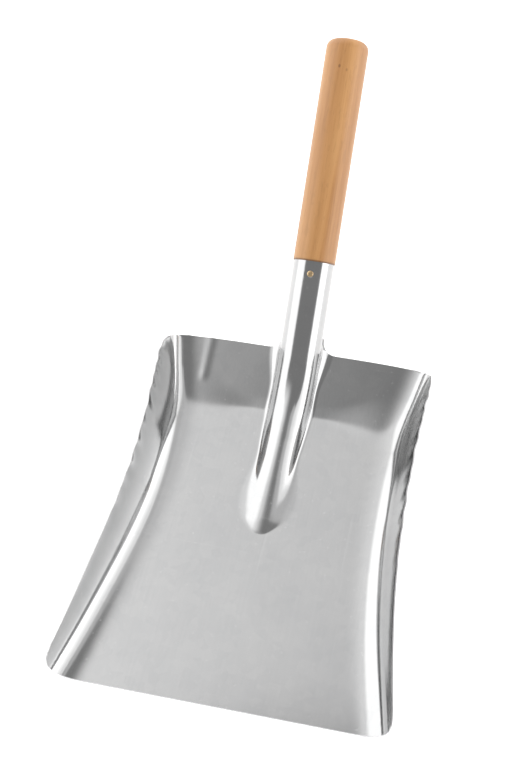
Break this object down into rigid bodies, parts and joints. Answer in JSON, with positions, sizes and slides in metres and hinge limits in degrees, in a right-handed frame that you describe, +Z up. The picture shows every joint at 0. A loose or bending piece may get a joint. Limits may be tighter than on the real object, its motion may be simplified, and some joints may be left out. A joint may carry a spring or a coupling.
{
  "type": "hand scoop shovel",
  "caption": "Small hand shovel: a pressed sheet-steel scoop with flared side walls and a central ridge rolled into a socket, holding a straight round wooden handle with a nail.",
  "frame": {"origin": "under the centre of the bounding box, on the plane the pan's flat floor rests on", "axes": "+X across the pan, +Y from the front lip towards the handle's end, +Z up from the floor the pan rests on"},
  "size_m": [0.2074, 0.441, 0.1792],
  "materials": {
    "blade": "bright galvanised sheet, lightly brushed",
    "handle": "smooth turned beech, thin clear lacquer",
    "nail": "satin"
  },
  "bodies": {
    "root": {"blade": "blade", "handle": "handle", "nail": "nail"}
  },
  "joints": []
}
